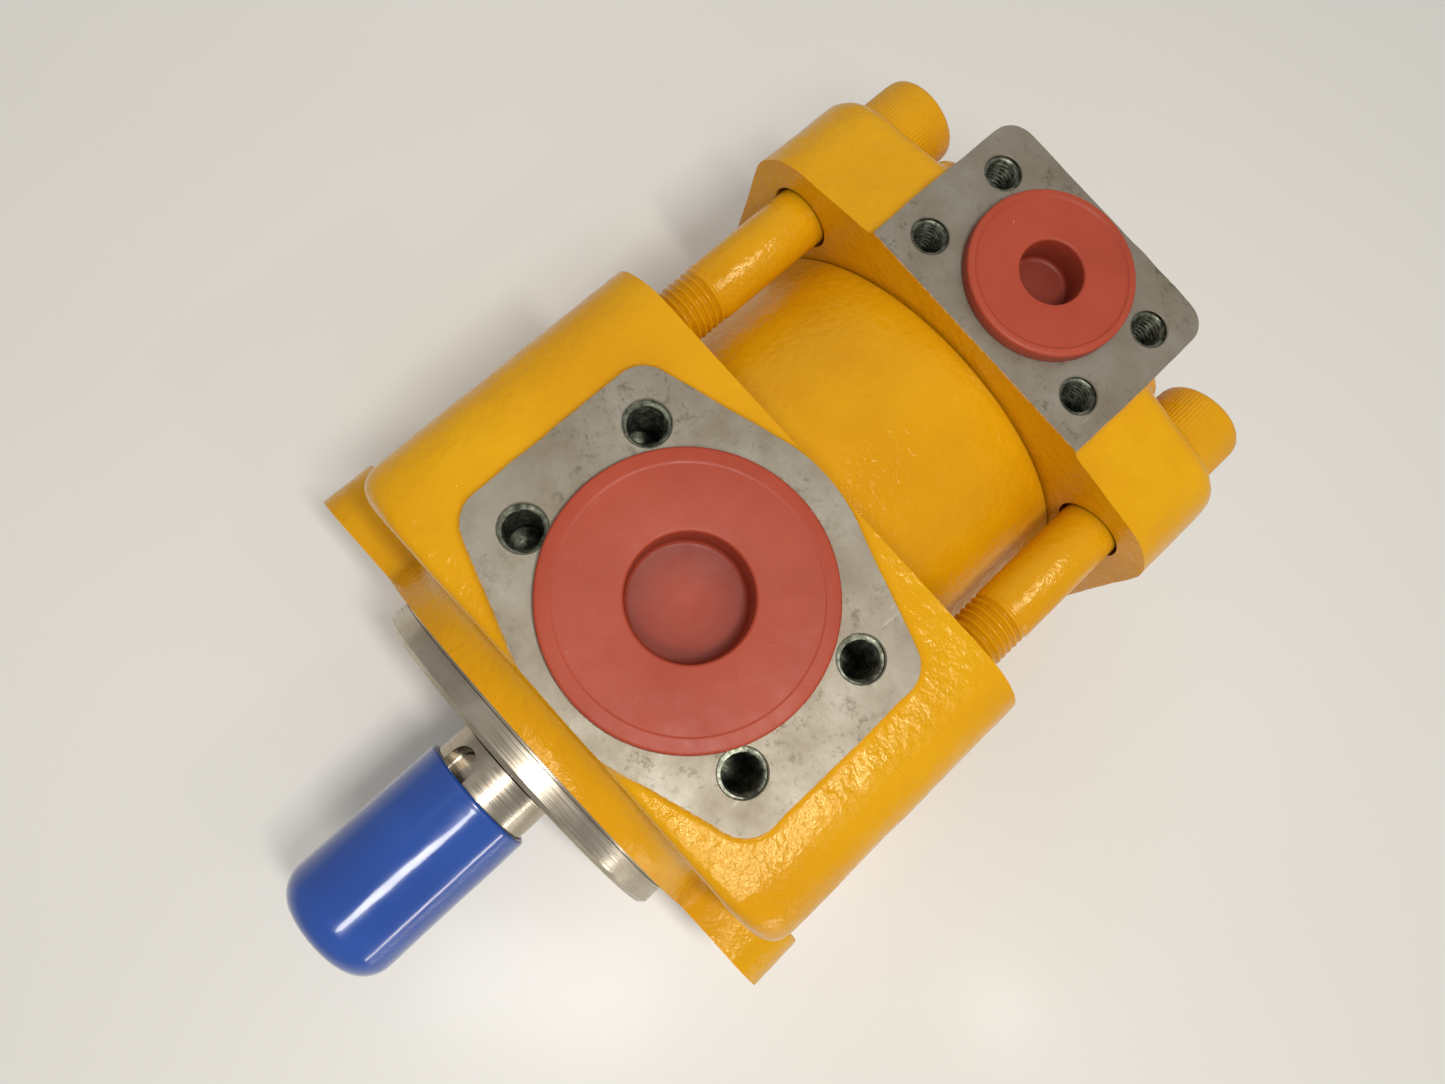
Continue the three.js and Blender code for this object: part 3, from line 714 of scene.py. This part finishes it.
def cover_parts():
    """The cover as overlapping solids: eared plate, port pad, tail boss and the saddle under the pad."""
    inside, edge = 150, 0.01
    ears = [(math.copysign(COVER_HALF - EAR_RADIUS, x), z, EAR_RADIUS) for x, z in SCREWS]
    shoulders = [(s * 33.8, OUTLET_FACE - 3.2, 2.0) for s in (-1, 1)]
    pad = [(s * 28.8, y, 7.0) for s in (-1, 1) for y in (COVER_FRONT - CUT, TAIL - 7.0)]
    saddle = [(x, z, 8.0) for x in (-33, 33) for z in (-20, OUTLET_FACE - 11.5)]
    draft = [(-20, 1.2), (OUTLET_FACE - 3, 0.2), (OUTLET_FACE + CUT, 0.0)]

    def slab(name, circles, levels):
        return prism_y(name, [(y, outline(circles, shrink)) for y, shrink in levels])

    return [
        slab("plate", ears + shoulders, rounded(COVER_FRONT - CUT, EAR_REAR, edge, 4.5)),
        prism_z("pad", [(z, outline(pad, shrink)) for z, shrink in draft]),
        slab("boss", [(0, 0, 43.0)], rounded(inside, TAIL - 2, edge, 4)),
        slab("saddle", saddle, rounded(inside, EAR_REAR + 6, edge, 6)),
    ]


def cover_casting():
    obj = cast("cover_casting", cover_parts())
    boolean(obj, box("above", (-FAR, -FAR, OUTLET_FACE), (FAR, FAR, FAR)))
    boolean(obj, box("ahead", (-FAR, -FAR, -FAR), (FAR, COVER_FRONT, FAR - 2)))
    holes = [drill_y(9, 100, 160, x, z) for x, z in SCREWS]
    holes += [
        drill_z(OUTLET_HOLE_RADIUS, OUTLET_FACE - 20, OUTLET_FACE, x, OUTLET_Y + y, HOLE_EDGE)
        for x, y in corners(*OUTLET_HOLES)
    ]
    holes.append(drill_z(OUTLET_BORE, 27, OUTLET_FACE, 0, OUTLET_Y, PORT_EDGE, 96))
    boolean(obj, join("holes", holes))
    seats = [drill_y(9, 150, 180, x, z) for x, z in SCREWS]
    seats += [drill_y(13.2, HEAD_SEAT, FAR, x, z) for x, z in SCREWS]
    for tool in seats:
        boolean(obj, tool)
    boolean(obj, drill_y(21.1, 100, 168.5, count=96))

    holes = [(x, OUTLET_Y + y, OUTLET_HOLE_RADIUS + 0.4) for x, y in corners(*OUTLET_HOLES)]
    holes.append((0, OUTLET_Y, OUTLET_BORE + 0.9))

    def bare(centre, normal):
        on_top = abs(centre.z - OUTLET_FACE) < 0.02 and normal.z > 0.9
        return on_top or (centre.z > OUTLET_FACE - 0.4 and near_hole(centre, holes))

    def drilled(centre, normal):
        return 10 < centre.z < OUTLET_FACE - 0.4 and near_hole(centre, holes)

    finish_faces(obj, BARE, bare)
    finish_faces(obj, DRILLED, drilled)
    settle(obj, "housing", ["rear_cover"], [yellow_enamel(OUTLET_FACE), IRON, THREAD])
    tapped_threads("outlet_threads", OUTLET_Y, OUTLET_FACE, OUTLET_HOLES, OUTLET_HOLE_RADIUS, 1.5, 19)


def housing_ring():
    """Turned gear housing: painted outside, with a fine chamfer at both joints."""
    r, bore, inset, edge, bands = HOUSING_RADIUS, 47.9, 0.5, 0.7, 60
    width = COVER_FRONT - BLOCK_REAR - 2 * edge
    outside = [(r, BLOCK_REAR + edge + width * i / bands) for i in range(bands + 1)]
    profile = [(bore, BLOCK_REAR), (r - inset, BLOCK_REAR)] + outside
    profile += [(r - inset, COVER_FRONT), (bore, COVER_FRONT)]
    obj = lathe("housing_ring", profile, 240)
    roughen(obj, [(30, 0.18), (9, 0.06)])
    for v in obj.data.vertices:
        v.co.y = min(max(v.co.y, BLOCK_REAR), COVER_FRONT)
    settle(obj, "housing", ["gear_housing"], [YELLOW])


# ---- clamping screws ----------------------------------------------------------------

THREAD_START = BLOCK_REAR - 26.0
THREAD_END = BLOCK_REAR + 19.0


def screw_radius(y, turn):
    """Radius of a clamping screw's shank at a height, and at a share of a turn round it."""
    pitch, depth, run_out = 2.0, 0.95, 2.5
    if y >= THREAD_END:
        return SCREW_RADIUS
    groove = 0.5 + 0.5 * math.cos(2 * math.pi * ((y / pitch - turn) % 1.0))
    fade = min(1.0, (THREAD_END - y) / run_out)
    return SCREW_RADIUS - 0.1 - depth * fade * groove


def clamp_screw(name, node, x, z):
    count, rows = 96, 230
    heights = [THREAD_START + (THREAD_END - THREAD_START) * i / rows for i in range(rows + 1)]
    heights += [HEAD_SEAT - 30, HEAD_SEAT - 15, HEAD_SEAT]
    levels = []
    for y in heights:
        turns = [j / count for j in range(count)]
        levels.append((y, [polar(screw_radius(y, t), 2 * math.pi * t, (x, z)) for t in turns]))
    obj = screw_head(x, z)
    boolean(obj, prism_y("shank", levels), "UNION")
    obj.name = name
    roughen(obj, [(8, 0.05)])
    settle(obj, "housing", [node], [YELLOW], crease=40)


def screw_head(x, z):
    """Knurled cylinder head with a hexagon socket."""
    ribs, per_rib, rib_height, steps = 72, 4, 0.09, 4
    count = ribs * per_rib
    edges = rounded(HEAD_SEAT, HEAD_END, 0.8, 1.6, steps)
    middle = [(HEAD_SEAT + 1.4 + (HEAD_END - HEAD_SEAT - 4.4) * i / 8, 0.0) for i in range(9)]
    levels = []
    for y, shrink in edges[:steps + 1] + middle + edges[steps + 1:]:
        knurled = HEAD_SEAT + 1.2 < y < HEAD_END - 2.6
        points = []
        for j in range(count):
            rib = rib_height * math.cos(2 * math.pi * ribs * j / count) if knurled else 0.0
            points.append(polar(HEAD_RADIUS - 0.15 - shrink + rib, 2 * math.pi * j / count, (x, z)))
        levels.append((y, points))
    head = prism_y("head", levels)
    across = 14 / math.sqrt(3)
    hexagon = lathe("socket", [
        (0, HEAD_END - 8), (across, HEAD_END - 8), (across, HEAD_END - 0.6), (across + 0.7, HEAD_END + 0.1),
        (across + 0.7, HEAD_END + 3), (0, HEAD_END + 3),
    ], 6, (x, z))
    boolean(head, hexagon)
    return head


# ---- shaft, cap and plugs -----------------------------------------------------------

KEYWAY_TURN = math.radians(35)
KEYWAY_HALF = 5.0
KEYWAY_ENDS = (-13.0, -60.0)
GEAR_SPAN = (93.6, 133.8)
MODULE, TEETH, PRESSURE = 3.0, 13, math.radians(25)
ADDENDUM, CLEARANCE, BACKLASH = 0.8, 0.2, 0.3


def pinion_outline():
    """Involute teeth of the pinion, with one tooth at the bottom."""
    pitch = MODULE * TEETH / 2
    base = pitch * math.cos(PRESSURE)
    tip, root = pitch + ADDENDUM * MODULE, pitch - (ADDENDUM + CLEARANCE) * MODULE
    half = math.pi * MODULE / 4 - BACKLASH / 4

    def involute(radius):
        angle = math.acos(min(1.0, base / radius))
        return math.tan(angle) - angle

    steps = 8
    flank = [root] + [base + (tip - base) * i / steps for i in range(steps + 1)]
    spread = [half / pitch + involute(pitch) - involute(max(r, base)) for r in flank]
    points = []
    for tooth in range(TEETH):
        middle = -math.pi / 2 + 2 * math.pi * tooth / TEETH
        side = list(zip(flank, spread))
        points += [polar(r, middle - a) for r, a in side]
        points.append(polar(tip, middle))
        points += [polar(r, middle + a) for r, a in reversed(side)]
        points.append(polar(root, middle + math.pi / TEETH))
    return points


def drive_shaft():
    r, front, rear = SHAFT_RADIUS, SHAFT_FRONT, SHAFT_REAR
    collar = -PILOT_HEIGHT
    profile = [
        (0, front), (r - 3.5, front), (r, front + 3.5), (r, collar - 3.0), (r - 0.35, collar - 2.6),
        (r - 0.35, collar - 0.8), (r, collar - 0.4), (r, rear - 1.5), (r - 1.5, rear), (0, rear),
    ]
    obj = lathe("drive_shaft", profile, 128)
    gear = prism_y("gear", [(y, pinion_outline()) for y in GEAR_SPAN])
    boolean(obj, gear, "UNION")
    near, far = KEYWAY_ENDS
    slot = [(0, near - KEYWAY_HALF, KEYWAY_HALF), (0, far + KEYWAY_HALF, KEYWAY_HALF)]
    keyway = prism_z("keyway", [(z, outline(slot, s)) for z, s in ((r - 5, 0.4), (r - 4.6, 0), (r + 2, 0))])
    keyway.data.transform(Matrix.Rotation(-KEYWAY_TURN, 4, "Y"))
    boolean(obj, keyway)
    settle(obj, "shaft", ["pinion_shaft"], [STEEL])


def vinyl_cap():
    """Dipped sleeve: rounded nose, slightly uneven wall, rolled mouth."""
    r, inner, nose, steps = CAP_RADIUS, 16.25, 8.0, 14
    body = 40

    def arc(radius, t):
        return (r - nose + radius * math.cos(t), CAP_END + nose - radius * math.sin(t))

    quarter = [math.pi / 2 * i / steps for i in range(steps + 1)]
    outside = [arc(nose, t) for t in reversed(quarter)]
    straight = [(r, CAP_END + nose + (CAP_MOUTH - 1 - CAP_END - nose) * i / body) for i in range(1, body)]
    mouth = [
        (r + 0.05, CAP_MOUTH - 1.0), (r - 0.1, CAP_MOUTH - 0.3), (r - 0.5, CAP_MOUTH),
        (inner + 0.3, CAP_MOUTH), (inner, CAP_MOUTH - 0.4),
    ]
    inside = [arc(nose - (r - inner), t) for t in quarter]
    profile = [(0, CAP_END)] + outside + straight + mouth + inside + [(0, inside[-1][1])]
    obj = lathe("vinyl_cap", profile, 160)
    roughen(obj, [(22, 0.16), (8, 0.04)])
    settle(obj, "cap", ["shaft_cap"], [BLUE], crease=60)


def port_plug(name, node, body, centre_y, face, rim, rise, band, lip, recess, depth, hub, reach):
    """Soft transport plug: raised rim band, flat web and a cup in the middle."""
    profile = [
        (0, rise - depth), (recess - 0.4, rise - depth), (recess, rise - lip), (rim - band - 0.5, rise - lip),
        (rim - band, rise), (rim - 0.2, rise - 0.15), (rim, 0.02), (hub, 0.02), (hub - 0.5, -reach),
        (recess, -reach), (recess - 0.6, rise - depth - 2.2), (0, rise - depth - 2.2),
    ]
    shaped = soften(profile, {1: 1.2, 2: 0.7, 3: 0.2, 4: 0.2, 5: 0.8, 6: 0.3, 8: 0.6})
    moved = [(r, h + face) for r, h in shaped]
    obj = lathe(name, moved, 160, (0, centre_y), upright=True)
    roughen(obj, [(18, 0.10)])
    settle(obj, body, [node], [RED], crease=50)


def shaft_seal():
    """Lip seal behind the retaining ring: rubber-covered case and sprung lip."""
    lip, outer = 16.1, 25.0
    profile = [
        (lip, -0.6), (lip + 1.0, -2.6), (lip + 2.2, -2.9), (lip + 2.6, -1.2), (outer - 4.2, -1.2),
        (outer - 3.6, -2.6), (outer - 0.6, -3.0), (outer, -2.4), (outer, 4.5), (outer - 2.4, 4.5),
        (outer - 2.4, 0.4), (lip + 1.6, 0.4), (lip + 0.6, 0.6),
    ]
    settle(lathe("lip_seal", profile, 128), "housing", ["shaft_seal"], [RUBBER], crease=50)


def retaining_ring():
    """Internal retaining ring with two eyed ends at the bottom."""
    outer, inner, front, thick, gap = 26.2, 22.8, -5.2, 1.4, 0.28
    count = 120
    loops = []
    for i in range(count + 1):
        angle = -math.pi / 2 + gap + (2 * math.pi - 2 * gap) * i / count
        ends = max(0.0, 1 - min(i, count - i) / 5)
        inside = inner - 2.6 * ends ** 0.5
        section = [(inside, front), (outer, front), (outer, front + thick), (inside, front + thick)]
        loops.append([(r * math.cos(angle), y, r * math.sin(angle)) for r, y in section])
    obj = loft("retaining_ring", loops)
    for side in (-1, 1):
        eye = polar(22.3, -math.pi / 2 + side * (gap + 0.075))
        boolean(obj, drill_y(0.9, front - 1, front + thick + 1, *eye, 24))
    settle(obj, "housing", ["seal_retaining_ring"], [GEAR], crease=30)


# ---- the motor ----------------------------------------------------------------------

front_casting()
cover_casting()
housing_ring()
for side, x in (("left", -SCREW_X), ("right", SCREW_X)):
    for row, z in (("lower", -SCREW_Z), ("upper", SCREW_Z)):
        clamp_screw(f"clamp_screw_{row}_{side}", f"cap_screw_{row}_{side}", x, z)
drive_shaft()
vinyl_cap()
port_plug(
    "inlet_cover_plug", "inlet_plug", "inlet_cover",
    centre_y=INLET_PLUG_Y, face=INLET_FACE, rim=INLET_RIM,
    rise=3.0, band=3.6, lip=0.16, recess=14.3, depth=9.5, hub=17.4, reach=10,
)
port_plug(
    "outlet_cover_plug", "outlet_plug", "outlet_cover",
    centre_y=OUTLET_PLUG_Y, face=OUTLET_FACE, rim=OUTLET_RIM,
    rise=4.0, band=1.9, lip=0.4, recess=8.2, depth=10.0, hub=10.3, reach=9,
)
shaft_seal()
retaining_ring()

inner_looks = {
    "ring_gear": GEAR, "crescent": GEAR, "crescent_pin": STEEL, "front_side_plate": BRONZE,
    "rear_side_plate": BRONZE, "front_bearing": BRONZE, "rear_bearing": BRONZE, "front_o_ring": RUBBER,
    "rear_o_ring": RUBBER, "dowel_front_left": STEEL, "dowel_front_right": STEEL, "dowel_rear_left": STEEL,
    "dowel_rear_right": STEEL,
}
for node, look in inner_looks.items():
    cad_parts[node].data.materials.clear()
    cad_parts[node].data.materials.append(look)


# ---- floor, light and camera --------------------------------------------------------

def studio():
    half = 3.0
    floor = mesh_object("floor", [(x, y, 0) for x, y in corners(half, half)], [(0, 1, 2, 3)])
    g = Graph("pale_floor", Metallic=0.0, Coat_Weight=0.15, Coat_Roughness=0.16)
    g.set("Base Color", g.ramp(g.noise(300, 2), (0.3, (0.84, 0.82, 0.755)), (0.7, (0.88, 0.86, 0.80))))
    g.set("Roughness", g.span(g.noise(200, 2), 0.3, 0.7, 0.30, 0.38))
    floor.data.materials.append(g.material)

    world = bpy.data.worlds.new("pale_room")
    world.use_nodes = True
    background = world.node_tree.nodes.get("Background") or world.node_tree.nodes.new("ShaderNodeBackground")
    background.inputs["Color"].default_value = (0.93, 0.91, 0.90, 1)
    background.inputs["Strength"].default_value = 0.42
    bpy.context.scene.world = world

    def softbox(name, place, aim, size, power, colour):
        light = bpy.data.lights.new(name, "AREA")
        light.shape = "RECTANGLE"
        light.size, light.size_y = size
        light.energy = power
        light.color = colour
        obj = bpy.data.objects.new(name, light)
        obj.location = place
        obj.rotation_euler = (Vector(aim) - Vector(place)).to_track_quat("-Z", "Y").to_euler()
        bpy.context.scene.collection.objects.link(obj)

    centre = (0, 0, AXIS_Z)
    softbox("lamp", (0.160, 0.000, 0.76), centre, (0.045, 0.14), 1.8, (1.0, 0.98, 0.95))
    softbox("window", (0.17, -0.24, 0.76), centre, (0.22, 0.10), 1.15, (1.0, 0.99, 0.97))
    softbox("far_lamp", (0.515, 0.077, 0.76), centre, (0.05, 0.05), 0.22, (1.0, 0.99, 0.97))
    softbox("low_window", (0.95, -0.28, 0.13), (0, -0.10, AXIS_Z), (0.36, 0.07), 0.8, (1.0, 0.97, 0.95))
    softbox("fill", (-0.7, 0.6, 1.2), centre, (1.6, 1.6), 1.8, (0.97, 0.98, 1.0))


def camera():
    data = bpy.data.cameras.new("camera")
    data.sensor_width = 36.0
    data.lens = 26.69
    data.clip_start = 0.01
    obj = bpy.data.objects.new("camera", data)
    obj.location = (0.00347, FACE_Y + 0.01131, AXIS_Z + 0.29988)
    obj.rotation_euler = Euler([math.radians(a) for a in (9.527, -7.606, 47.371)])
    bpy.context.scene.collection.objects.link(obj)
    bpy.context.scene.camera = obj


studio()
camera()
bpy.context.scene.view_settings.view_transform = "Standard"
